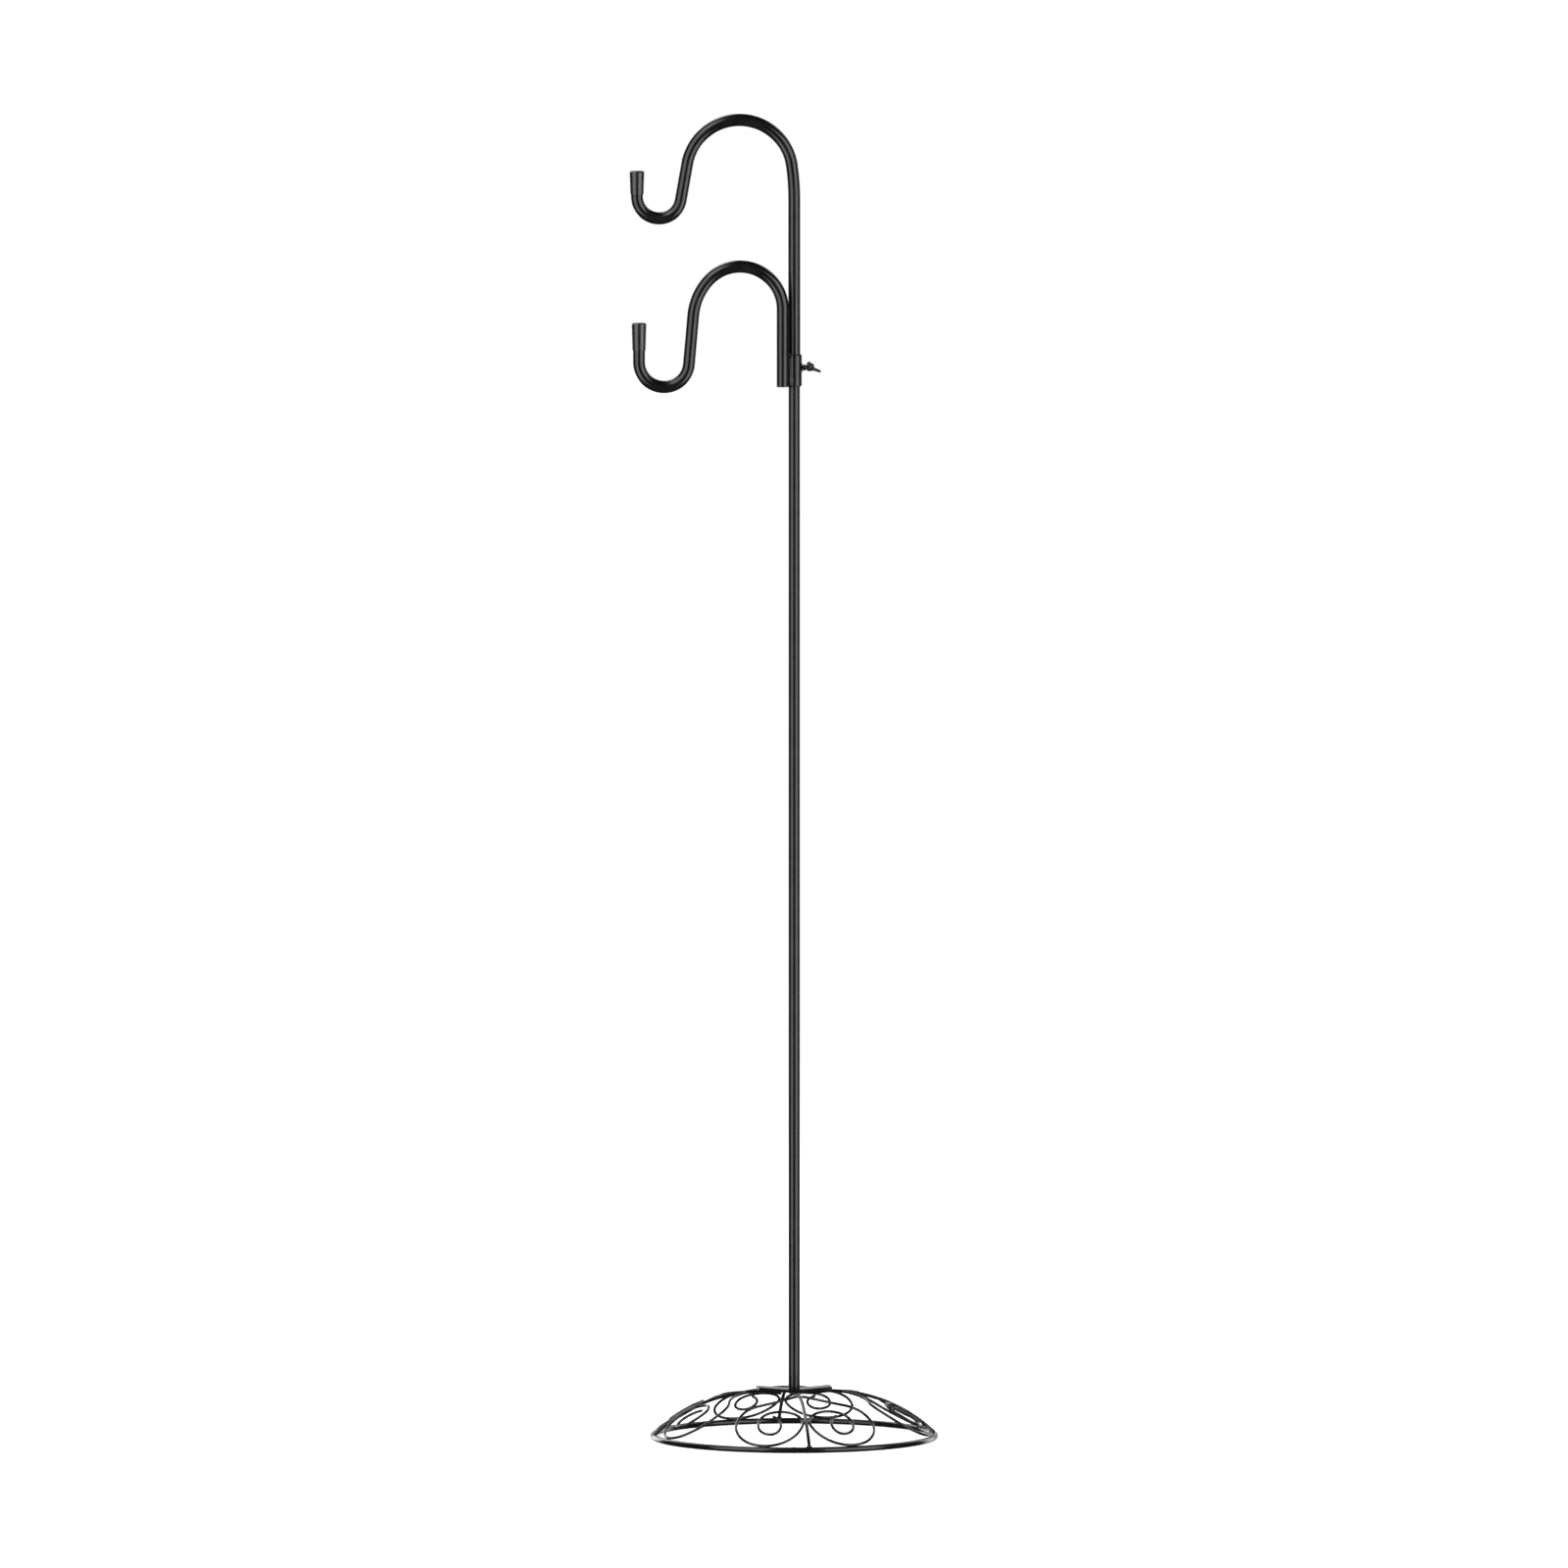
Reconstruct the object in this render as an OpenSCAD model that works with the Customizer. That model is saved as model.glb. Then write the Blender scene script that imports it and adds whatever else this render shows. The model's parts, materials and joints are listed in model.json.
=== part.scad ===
// Double hook stand for hanging a bird feeder: a pole on a domed wire base.
// Millimetres, +Z up. The origin is on the pole's axis, on the ground.
// Both hooks reach towards -X, and -Y is the front.

/* [Pole] */
// Outside diameter of the lower pole
pole_od = 12; // [11:0.1:12]
// Height of the joint between the lower pole and the top hook
joint_z = 1090; // [1060:1:1100]
// Wall thickness of every tube
tube_wall = 1; // [0.8:0.1:1.2]

/* [Hooks] */
// Outside diameter of both hook tubes
hook_od = 12.7; // [12.4:0.1:13]
// Radius of the top hook's crown
top_crown_r = 54; // [50:1:58]
// Radius of the top hook's cradle
top_cradle_r = 22.5; // [20:0.5:26]
// Straight length at the top hook's tip
top_tip = 23; // [15:1:30]
// Radius of the lower hook's crown
low_crown_r = 43.5; // [40:0.5:48]
// Radius of the lower hook's cradle
low_cradle_r = 25.5; // [23:0.5:28]
// Straight length at the lower hook's tip
low_tip = 37; // [30:1:42]

/* [End caps] */
// Outside diameter of the end caps
cap_od = 15.6; // [15:0.1:17]
// Length of the top hook's end cap
top_cap_len = 24; // [20:1:30]
// Length of the lower hook's end cap
low_cap_len = 28; // [20:1:32]
// Thickness of a cap's closed end
cap_end = 3; // [2:0.5:4]

/* [Clamp] */
// Outside diameter of the sleeve
sleeve_od = 16; // [15.4:0.1:18]
// Length of the sleeve
sleeve_len = 32.7; // [28:0.1:36]
// Height of the sleeve's lower end
sleeve_z = 1078.9; // [1075:0.1:1082]
// Diameter of the wing screw's thread
screw_d = 5; // [4:0.5:6]
// Direction of the wing screw around the pole
screw_turn = 25; // [0:1:45]
// Span of the two wings
wing_span = 30; // [24:1:34]

/* [Base] */
// Radius of the rim ring, to the middle of its wire
ring_r = 144; // [142:0.5:145]
// Wire diameter of the rim ring
ring_wire = 6; // [5:0.1:7]
// Wire diameter of the ribs
rib_wire = 3.5; // [3:0.1:4]
// Wire diameter of the scrolls
scroll_wire = 2.8; // [2.2:0.1:3]
// Radius of the dome, along a rib
dome_r = 155; // [154:0.5:156]
// Height of the dome's crown, to the middle of the wire
dome_z = 48.5; // [48:0.1:49]
// Turn of the whole base about the pole
base_turn = 6.2; // [0:0.1:45]

/* [Strap] */
// Length of the flat bar across the dome's crown
strap_len = 76; // [70:1:84]
// Width of the bar
strap_w = 25; // [20:0.5:28]
// Thickness of the bar
strap_t = 3.2; // [3:0.1:4]
// Upward slope of its two arms
strap_slope = 5; // [4:0.5:6]

/* [Hidden] */
$fn = 96;

powder_black = [0.10, 0.10, 0.11];
cap_black = [0.05, 0.05, 0.05];
zinc = [0.62, 0.63, 0.65];
black_zinc = [0.12, 0.12, 0.13];

seat_gap = 0.2;     // between faces that turn on each other
weld_gap = 0.1;     // between a wire and what it is welded to
fit_gap = 0.05;     // radial running clearance
step_shade = 0.02;  // how much thinner every second step of a tube is
step_lap = 0.02;    // how far such a step reaches into its neighbours

// The dome is flat out to dome_flat_r, then curves down to the ring.
dome_flat_r = 36;
rib_sweep = 44.6;
rib_bend_r = 30;
rib_clear = rib_wire / 2 + weld_gap / 2;

// A rib's sloped run near the pole ends in a short bend at dome_flat_r.
function run_r(slope) = dome_flat_r - rib_bend_r * sin(slope);
function run_z(slope) = dome_z - rib_bend_r * (1 - cos(slope));
function rib_z(slope, r) = run_z(slope) - (run_r(slope) - r) * tan(slope);

// The strap's arms lie on the two side ribs, beyond its flat middle.
strap_flat_r = 9;
strap_bottom = rib_z(strap_slope, strap_flat_r) + rib_clear / cos(strap_slope);
strap_top = strap_bottom + strap_t;
side_start_r = 13;

// The front and back ribs slope down just enough to pass under the strap's edges.
cross_rise = dome_z - rib_bend_r - strap_bottom;
cross_run = dome_flat_r - strap_w / 2;
cross_slope = acos(-(rib_bend_r + rib_clear) / norm([cross_rise, cross_run]))
    - atan2(cross_run, cross_rise);
cross_start_r = 8.5;

pole_z = strap_top + seat_gap;
spigot_d = hook_od - 2 * tube_wall - 2 * fit_gap;
spigot_len = 40;
insert_len = 30;

bolt_d = 6;
bolt_reach = 20;
bolt_head_d = 13;
bolt_head_h = 2.8;
bolt_rim = 0.8;      // straight part of the head's height, above its dome
bolt_socket_af = 4;
bolt_socket_depth = 2;
bolt_gap = 0.3;      // radial clearance of the bolt in the strap
bolt_spare = 2;      // depth of the insert's thread past the bolt's end

// The lower hook's tail is welded to the sleeve, to the front left of the pole.
tail_turn = 35;
tail_reach = sleeve_od / 2 + hook_od / 2 + weld_gap / 2;
tail_x = -tail_reach * cos(tail_turn);
tail_y = -tail_reach * sin(tail_turn);

sleeve_gap = 0.1;    // radial clearance of the sleeve on the top hook's tube
sleeve_bore = hook_od + 2 * sleeve_gap;
sleeve_chamfer = 0.6;
screw_z = 1097.6;
boss_sink = 2;       // how far inside the sleeve's outside the boss's cone starts
boss_root_d = 11.6;
boss_tip_d = 7;
boss_end = 12;
stud_tip = hook_od / 2 + 0.3;
stud_end = 20;
wing_hub = [15, 21.5];
wing_hub_d = [8.6, 7.4];
wing_t = 2.2;
wing_turn = 15;
wing_root_r = 2.4;
wing_tip_r = 3;

// Each step is a bend, [radius, angle], or a straight run, [length, 0].
// A positive angle turns towards -X, and a path starts upwards.
top_path = [[180 - seat_gap, 0], [250, 8], [top_crown_r, 162], [38, 0], [top_cradle_r, -170], [top_tip, 0]];
low_path = [[79.6, 0], [low_crown_r, 139.5], [62, 35.5], [50, 0], [low_cradle_r, -175], [low_tip, 0]];
top_start = [0, joint_z + seat_gap];
low_start = [tail_x, sleeve_z];

// A scroll's bends on the flattened panel: x is across from the rib, y is down along it.
scroll_start = [3.25, 49.3];
scroll_heading = 51;
scroll_path = [[140, -22], [63, 46], [23, 88], [44, 88], [20, 124], [29, 76], [11, 139], [19, 89]];
scroll_step = 12;   // greatest turn between two rings of the sweep
scroll_sides = 8;

// Heading at the start of step i.
function heading(path, i, h) = i == 0 ? h : heading(path, i - 1, h) + path[i - 1][1];

// Point reached after turning by t, or after the whole run, on one step.
function along(p, h, step, t) =
    step[1] == 0 ? p + step[0] * [cos(h), sin(h)] :
    let (side = sign(step[1]))
    p + side * step[0] * [sin(h + t) - sin(h), cos(h) - cos(h + t)];

// Point at the start of step i.
function corner(path, i, p, h) =
    i == 0 ? p : along(corner(path, i - 1, p, h), heading(path, i - 1, h), path[i - 1], path[i - 1][1]);

// All points along a path of bends, close enough for a sweep.
function trail(path, p, h) = [
    for (i = [0 : len(path) - 1])
        let (n = ceil(abs(path[i][1]) / scroll_step), at = corner(path, i, p, h), a = heading(path, i, h))
        for (k = [(i == 0 ? 0 : 1) : n]) along(at, a, path[i], path[i][1] * k / n)];

// The dome as a surface: s runs from the centre outwards along a rib.
function dome_angle(s) = max(0, s - dome_flat_r) / dome_r * 180 / PI;
function dome_radius(s) = min(s, dome_flat_r) + dome_r * sin(dome_angle(s));
function dome_height(s) = dome_z - dome_r * (1 - cos(dome_angle(s)));
function dome_turn(p, side) = side * p.x / dome_radius(p.y) * 180 / PI;
function on_dome(p, side) = let (r = dome_radius(p.y), a = dome_turn(p, side))
    [r * cos(a), r * sin(a), dome_height(p.y)];
function dome_normal(p, side) = let (a = dome_turn(p, side), b = dome_angle(p.y))
    [sin(b) * cos(a), sin(b) * sin(a), cos(b)];

function unit(v) = v / norm(v);

// Stands x and z of a flat drawing upright in the XZ plane.
module upright() {
    rotate([90, 0, 0]) children();
}

// One step of a tube or rod, from the origin along +Y. It reaches past its two ends by laps.
module path_step(step, outer_r, inner_r, laps) {
    side = sign(step[1]);
    reach = laps[0] + laps[1];
    if (side == 0)
        translate([0, -laps[0], 0])
            rotate([-90, 0, 0])
                difference() {
                    cylinder(h = step[0] + reach, r = outer_r);
                    if (inner_r > 0) translate([0, 0, -1]) cylinder(h = step[0] + 2 + reach, r = inner_r);
                }
    else
        mirror([side > 0 ? 0 : 1, 0, 0])
            translate([-step[0], 0, 0])
                rotate(-laps[0] / step[0] * 180 / PI)
                    rotate_extrude(angle = abs(step[1]) + reach / step[0] * 180 / PI)
                        translate([step[0], 0])
                            difference() {
                                circle(r = outer_r);
                                if (inner_r > 0) circle(r = inner_r);
                            }
}

// Moves its children from the start of a step to its end.
module past(step) {
    side = sign(step[1]);
    if (side == 0)
        translate([0, step[0], 0]) children();
    else
        translate([-side * step[0], 0, 0]) rotate(step[1]) translate([side * step[0], 0, 0]) children();
}

// A bent tube or rod in the XY plane, from the origin along +Y.
// Every second step is a hair thinner and laps into its neighbours, so that they join.
module bent(path, outer_r, inner_r = 0, i = 0) {
    thin = i % 2 == 1;
    last = i + 1 == len(path);
    shade = thin ? step_shade : 0;
    laps = [thin ? step_lap : 0, thin && !last ? step_lap : 0];
    path_step(path[i], outer_r - shade, inner_r == 0 ? 0 : inner_r + shade, laps);
    if (!last)
        past(path[i]) bent(path, outer_r, inner_r, i + 1);
}

// A round wire swept along points on the dome, in the frame of a rib along +X.
module dome_wire(points, side, wire_r) {
    n = len(points);
    place = [for (p = points) on_dome(p, side)];
    rings = [for (i = [0 : n - 1])
        let (t = unit(place[min(i + 1, n - 1)] - place[max(i - 1, 0)]),
            b = unit(cross(dome_normal(points[i], side), t)), c = cross(t, b))
        for (k = [0 : scroll_sides - 1])
            let (a = 360 * k / scroll_sides) place[i] + wire_r * (cos(a) * b + sin(a) * c)];
    walls = [for (i = [0 : n - 2]) for (k = [0 : scroll_sides - 1])
        let (a = i * scroll_sides + k, b = i * scroll_sides + (k + 1) % scroll_sides)
        for (f = [[a, a + scroll_sides, b], [b, a + scroll_sides, b + scroll_sides]]) f];
    ends = [[for (k = [0 : scroll_sides - 1]) k],
        [for (k = [scroll_sides - 1 : -1 : 0]) (n - 1) * scroll_sides + k]];
    polyhedron(points = rings, faces = concat(ends, walls));
}

module tube(d, bore, low, high) {
    difference() {
        translate([0, 0, low]) cylinder(h = high - low, d = d);
        translate([0, 0, low - 1]) cylinder(h = high - low + 2, d = bore);
    }
}

// Everything on the wing screw is drawn with its axis along +X from the pole.
module on_screw_axis() {
    translate([0, 0, screw_z]) rotate([0, 0, screw_turn]) children();
}

// Turning it by 45 degrees keeps its seam away from the planes of symmetry.
module rod_x(from, to, d_from, d_to) {
    translate([from, 0, 0]) rotate([0, 90, 0]) rotate(45) cylinder(h = to - from, d1 = d_from, d2 = d_to);
}

// ---- base ----

module rim_ring() {
    color(powder_black)
        translate([0, 0, ring_wire / 2])
            rotate_extrude() translate([ring_r, 0]) circle(d = ring_wire);
}

// A rib: a sloped run near the pole, a short bend, and the dome's arc into the ring.
module rib(turn, slope, start_r) {
    run = (run_r(slope) - start_r) / cos(slope);
    color(powder_black)
        difference() {
            rotate([0, 0, base_turn - 90 + turn])
                translate([start_r, 0, rib_z(slope, start_r)])
                    upright() rotate(slope - 90)
                        bent([[run, 0], [rib_bend_r, -slope], [dome_r, -rib_sweep]], rib_wire / 2);
            rim_ring();
        }
}

module side_rib(turn) {
    rib(turn, strap_slope, side_start_r);
}

module cross_rib(turn) {
    rib(turn, cross_slope, cross_start_r);
}

module scroll(turn, side) {
    color(powder_black)
        rotate([0, 0, base_turn - 90 + turn])
            dome_wire(trail(scroll_path, scroll_start, scroll_heading), side, scroll_wire / 2);
}

// A flat bar with a level middle and two arms that slope up along the side ribs.
module base_strap() {
    reach = strap_len / 2;
    rise = (reach - strap_flat_r) * tan(strap_slope);
    outline = [[strap_flat_r, strap_bottom], [reach, strap_bottom + rise],
        [reach, strap_top + rise], [strap_flat_r, strap_top]];
    mirrored = [for (i = [3 : -1 : 0]) [-outline[i].x, outline[i].y]];
    color(powder_black)
        difference() {
            rotate([0, 0, base_turn])
                upright()
                    linear_extrude(height = strap_w, center = true)
                        polygon(concat(outline, mirrored));
            translate([0, 0, strap_bottom - 1]) cylinder(h = strap_t + 2, d = bolt_d + 2 * bolt_gap);
        }
}

// ---- pole ----

// A low domed head with a hexagon socket. The dome is a slice of a ball.
module base_bolt() {
    head_r = bolt_head_d / 2;
    dome_h = bolt_head_h - bolt_rim;
    ball_r = (head_r * head_r + dome_h * dome_h) / (2 * dome_h);
    low = strap_bottom - seat_gap - bolt_head_h;
    color(black_zinc)
        difference() {
            translate([0, 0, low]) {
                rotate_extrude() {
                    intersection() {
                        translate([0, ball_r]) circle(r = ball_r);
                        square([head_r, dome_h]);
                    }
                    translate([0, dome_h]) square([head_r, bolt_rim]);
                }
                cylinder(h = pole_z + bolt_reach - low, d = bolt_d);
            }
            translate([0, 0, low - 1])
                cylinder(h = bolt_socket_depth + 1, d = bolt_socket_af / cos(30), $fn = 6);
        }
}

module pole_foot_insert() {
    color(zinc)
        difference() {
            translate([0, 0, pole_z]) cylinder(h = insert_len, d = pole_od - 2 * tube_wall);
            translate([0, 0, pole_z - 1]) cylinder(h = bolt_reach + bolt_spare + 1, d = bolt_d);
        }
}

module lower_pole() {
    color(powder_black) tube(pole_od, pole_od - 2 * tube_wall, pole_z, joint_z);
}

module joint_spigot() {
    color(zinc) {
        translate([0, 0, joint_z - spigot_len]) cylinder(h = spigot_len, d = pole_od - 2 * tube_wall);
        translate([0, 0, joint_z]) cylinder(h = spigot_len, d = spigot_d);
    }
}

// ---- hooks ----

module hook_tube(path, start) {
    translate([start.x, 0, start.y])
        upright() bent(path, hook_od / 2, hook_od / 2 - tube_wall);
}

// A cap pushed over a tube end, drawn with the tube's end face at z = 0.
module end_cap(length) {
    round_r = 2;
    skirt = length - cap_end;
    color(cap_black)
        rotate_extrude() {
            translate([hook_od / 2, -skirt]) square([(cap_od - hook_od) / 2, skirt]);
            square([cap_od / 2, cap_end - round_r]);
            square([cap_od / 2 - round_r, cap_end]);
            translate([cap_od / 2 - round_r, cap_end - round_r])
                intersection() {
                    circle(r = round_r);
                    square(round_r);
                }
        }
}

module top_hook_tube() {
    color(powder_black) hook_tube(top_path, top_start);
}

module top_end_cap() {
    tip = corner(top_path, len(top_path), top_start, 90);
    translate([tip.x, 0, tip.y]) end_cap(top_cap_len);
}

module lower_hook_tube() {
    color(powder_black) translate([0, tail_y, 0]) hook_tube(low_path, low_start);
}

module lower_end_cap() {
    tip = corner(low_path, len(low_path), low_start, 90);
    translate([tip.x, tail_y, tip.y]) end_cap(low_cap_len);
}

// ---- clamp ----

module clamp_sleeve() {
    color(powder_black)
        difference() {
            translate([0, 0, sleeve_z]) {
                cylinder(h = sleeve_chamfer, d1 = sleeve_od - 2 * sleeve_chamfer, d2 = sleeve_od);
                translate([0, 0, sleeve_chamfer])
                    cylinder(h = sleeve_len - 2 * sleeve_chamfer, d = sleeve_od);
                translate([0, 0, sleeve_len - sleeve_chamfer])
                    cylinder(h = sleeve_chamfer, d1 = sleeve_od, d2 = sleeve_od - 2 * sleeve_chamfer);
            }
            translate([0, 0, sleeve_z - 1]) cylinder(h = sleeve_len + 2, d = sleeve_bore);
            on_screw_axis() rod_x(1, sleeve_od, screw_d + 2 * fit_gap, screw_d + 2 * fit_gap);
        }
}

module threaded_boss() {
    color(powder_black)
        difference() {
            on_screw_axis() rod_x(sleeve_od / 2 - boss_sink, boss_end, boss_root_d, boss_tip_d);
            translate([0, 0, sleeve_z]) cylinder(h = sleeve_len, d = sleeve_od);
            on_screw_axis() rod_x(0, boss_end + 1, screw_d + 2 * fit_gap, screw_d + 2 * fit_gap);
        }
}

module clamp_stud() {
    point = 0.8;
    color(black_zinc)
        on_screw_axis() {
            rod_x(stud_tip, stud_tip + point, screw_d - 2 * point, screw_d);
            rod_x(stud_tip + point, stud_end, screw_d, screw_d);
        }
}

// The cast head: a tapered hub and two wings that flare away from the pole.
module wing_head() {
    root = [wing_hub[0] + 2.5, 2.5];
    tip = [wing_hub[1] + 1.5, wing_span / 2 - wing_tip_r];
    color(powder_black)
        on_screw_axis() rotate([wing_turn, 0, 0])
            difference() {
                union() {
                    rod_x(wing_hub[0], wing_hub[1], wing_hub_d[0], wing_hub_d[1]);
                    for (side = [-1, 1])
                        translate([0, 0, -wing_t / 2])
                            linear_extrude(height = wing_t)
                                hull() {
                                    translate([root.x, side * root.y]) circle(r = wing_root_r, $fn = 32);
                                    translate([tip.x, side * tip.y]) circle(r = wing_tip_r, $fn = 32);
                                }
                }
                rod_x(0, stud_end + 0.5, screw_d + 2 * fit_gap, screw_d + 2 * fit_gap);
            }
}

rim_ring();
cross_rib(0);  // rib_front
side_rib(90);  // rib_right
cross_rib(180);  // rib_back
side_rib(270);  // rib_left
scroll(0, 1);  // scroll_front_right
scroll(0, -1);  // scroll_front_left
scroll(90, 1);  // scroll_right_back
scroll(90, -1);  // scroll_right_front
scroll(180, 1);  // scroll_back_left
scroll(180, -1);  // scroll_back_right
scroll(270, 1);  // scroll_left_front
scroll(270, -1);  // scroll_left_back
base_strap();
base_bolt();
pole_foot_insert();
lower_pole();
joint_spigot();
top_hook_tube();
top_end_cap();
lower_hook_tube();
lower_end_cap();
clamp_sleeve();
threaded_boss();
clamp_stud();
wing_head();
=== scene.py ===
"""Looks of a double hook stand for hanging a bird feeder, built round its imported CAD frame.

Shapes are worked out in millimetres, and mesh_piece() turns them into metres.
"""
import json
import math

import bmesh
import bpy
import numpy as np
from mathutils import Matrix, Vector, noise


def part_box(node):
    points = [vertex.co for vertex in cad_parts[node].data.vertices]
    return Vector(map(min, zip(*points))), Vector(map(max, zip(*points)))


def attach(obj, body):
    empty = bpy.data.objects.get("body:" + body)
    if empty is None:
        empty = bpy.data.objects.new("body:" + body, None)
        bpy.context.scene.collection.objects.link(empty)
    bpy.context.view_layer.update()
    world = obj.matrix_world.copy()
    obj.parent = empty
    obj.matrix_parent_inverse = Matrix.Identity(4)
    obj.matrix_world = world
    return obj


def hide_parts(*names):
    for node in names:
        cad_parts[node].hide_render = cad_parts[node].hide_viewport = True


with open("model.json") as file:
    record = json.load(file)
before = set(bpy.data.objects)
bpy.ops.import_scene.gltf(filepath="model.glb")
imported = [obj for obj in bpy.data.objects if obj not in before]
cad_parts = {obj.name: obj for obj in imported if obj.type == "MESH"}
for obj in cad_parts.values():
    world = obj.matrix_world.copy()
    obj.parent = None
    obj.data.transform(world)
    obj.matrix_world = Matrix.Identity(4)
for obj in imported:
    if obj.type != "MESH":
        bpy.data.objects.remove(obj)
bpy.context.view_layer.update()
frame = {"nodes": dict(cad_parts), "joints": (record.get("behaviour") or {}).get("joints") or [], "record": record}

MM = 0.001
UP = Vector((0, 0, 1))
BACK = Vector((0, 1, 0))


def box_mm(node):
    """Lowest and highest corner of a CAD node, in millimetres."""
    low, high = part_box(node)
    return low / MM, high / MM


# ---- sizes, read from the frame where it has them ----

POLE_LOW, POLE_HIGH = box_mm("lower_pole")
RING_LOW, RING_HIGH = box_mm("rim_ring")
SLEEVE_LOW, SLEEVE_HIGH = box_mm("clamp_sleeve")
STRAP_LOW, _ = box_mm("base_strap")
BOLT_LOW, BOLT_HIGH = box_mm("base_bolt")
TOP_LOW, _ = box_mm("top_hook_tube")
TAIL_LOW, TAIL_HIGH = box_mm("lower_hook_tube")

HOOK_R = 6.35
WALL = 1.0
SLEEVE_R = (SLEEVE_HIGH.x - SLEEVE_LOW.x) / 2
POLE_R = POLE_HIGH.x
RING_WIRE_R = (RING_HIGH.z - RING_LOW.z) / 2
RING_R = RING_HIGH.x - RING_WIRE_R
RIB_R = 1.75
SCROLL_R = 1.4

# The base stands turned a little. Its dome is flat round the pole and then follows an arc down to the rim.
BASE_TURN = 6.2
DOME_FLAT_R = 36
DOME_R = 155
DOME_Z = 48.5
RIB_CLEAR = 1.8
RIB_BEND_R = 30
RIB_SWEEP = 44.6
SIDE_START_R = 13
CROSS_START_R = 8.5

# The strap is flat in its middle and its two arms slope up.
STRAP_SLOPE = 5
STRAP_FLAT_R = 9
STRAP_T = 3.2
STRAP_W = 25
STRAP_REACH = 38

# A step is (radius, angle) for a bend or (length, 0) for a straight run.
TOP_STEPS = [(179.8, 0), (250, 8), (54, 162), (38, 0), (22.5, -170), (23, 0)]
LOWER_STEPS = [(79.6, 0), (43.5, 139.5), (62, 35.5), (50, 0), (25.5, -175), (37, 0)]
SCROLL_STEPS = [(140, -22), (63, 46), (23, 88), (44, 88), (20, 124), (29, 76), (11, 139), (19, 89)]
# A scroll is drawn on the flattened dome: x is across from its rib, y is out from the pole.
SCROLL_START = (3.25, 49.3)
SCROLL_HEADING = 51

QUADRANTS = {"front": 0, "right": 90, "back": 180, "left": 270}
# Each scroll's rib as an angle, and the side of the rib that it is on.
SCROLLS = {
    "scroll_front_right": (0, 1), "scroll_front_left": (0, -1),
    "scroll_right_back": (90, 1), "scroll_right_front": (90, -1),
    "scroll_back_left": (180, 1), "scroll_back_right": (180, -1),
    "scroll_left_front": (270, 1), "scroll_left_back": (270, -1),
}

WING_JOINT = next(j for j in frame["joints"] if j["name"] == "wing_turn")
SCREW_AT = Vector(WING_JOINT["pos_m"]) / MM
SCREW_AXIS = Vector(WING_JOINT["axis"]).normalized()
WING_TURN = 15
STUD_R = 2.5
STUD_PITCH = 0.8


# ---- paths ----


class Path:
    """Bends and straight runs in a plane, followed by distance."""

    def __init__(self, steps, start, heading):
        self.parts = []
        at, point, angle = 0.0, Vector(start), math.radians(heading)
        for size, degrees in steps:
            turn = math.radians(degrees)
            length = size * abs(turn) if degrees else size
            self.parts.append((at, length, point, angle, size, turn))
            point, angle = self.along(self.parts[-1], length)
            at += length
        self.length = at

    @staticmethod
    def along(part, run):
        """Point and heading after a run along one step."""
        _, length, point, angle, size, turn = part
        if not turn:
            return point + run * Vector((math.cos(angle), math.sin(angle))), angle
        side, end = math.copysign(1, turn), angle + turn * run / length
        shift = Vector((math.sin(end) - math.sin(angle), math.cos(angle) - math.cos(end)))
        return point + side * size * shift, end

    def at(self, distance):
        """Point and heading at a distance from the start."""
        part = next((p for p in self.parts if distance <= p[0] + p[1]), self.parts[-1])
        return self.along(part, distance - part[0])

    def stations(self, degrees):
        """Distances that are close enough on the bends, with the ends of every step."""
        out = [0.0]
        for at, length, _, _, _, turn in self.parts:
            n = max(1, math.ceil(abs(math.degrees(turn)) / degrees))
            out += [at + length * k / n for k in range(1, n + 1)]
        return out


def dome_angle(s):
    """Slope of the dome at a distance out along its surface."""
    return max(0.0, s - DOME_FLAT_R) / DOME_R


def dome_radius(s):
    return min(s, DOME_FLAT_R) + DOME_R * math.sin(dome_angle(s))


def dome_height(s):
    return DOME_Z - DOME_R * (1 - math.cos(dome_angle(s)))


def turned(vector, degrees):
    """Turns a vector that points along +x to the rib at an angle. 0 is the front."""
    return Matrix.Rotation(math.radians(BASE_TURN - 90 + degrees), 3, "Z") @ vector


def on_dome(point, side, turn):
    """A point of the flattened panel, and the dome's normal there."""
    r, b = dome_radius(point.y), dome_angle(point.y)
    a = side * point.x / r
    place = Vector((r * math.cos(a), r * math.sin(a), dome_height(point.y)))
    normal = Vector((math.sin(b) * math.cos(a), math.sin(b) * math.sin(a), math.cos(b)))
    return turned(place, turn), turned(normal, turn)


def hook_place(path, y):
    """Centre, tangent and up vector on a hook, which stands in a plane of constant y."""
    def place(distance):
        point, angle = path.at(distance)
        return Vector((point.x, y, point.y)), Vector((math.cos(angle), 0, math.sin(angle))), BACK
    return place


def scroll_place(path, side, turn):
    """Centre, tangent and the dome's normal on a scroll."""
    step = 0.2
    def place(distance):
        centre, normal = on_dome(path.at(distance)[0], side, turn)
        ahead = on_dome(path.at(min(distance + step, path.length))[0], side, turn)[0]
        behind = on_dome(path.at(max(distance - step, 0))[0], side, turn)[0]
        return centre, (ahead - behind).normalized(), normal
    return place


def rib_place(path, turn):
    """Centre, tangent and sideways vector on a rib."""
    across = turned(Vector((0, 1, 0)), turn)
    def place(distance):
        point, angle = path.at(distance)
        centre = turned(Vector((point.x, 0, point.y)), turn)
        return centre, turned(Vector((math.cos(angle), 0, math.sin(angle))), turn), across
    return place


# ---- meshes ----


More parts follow.
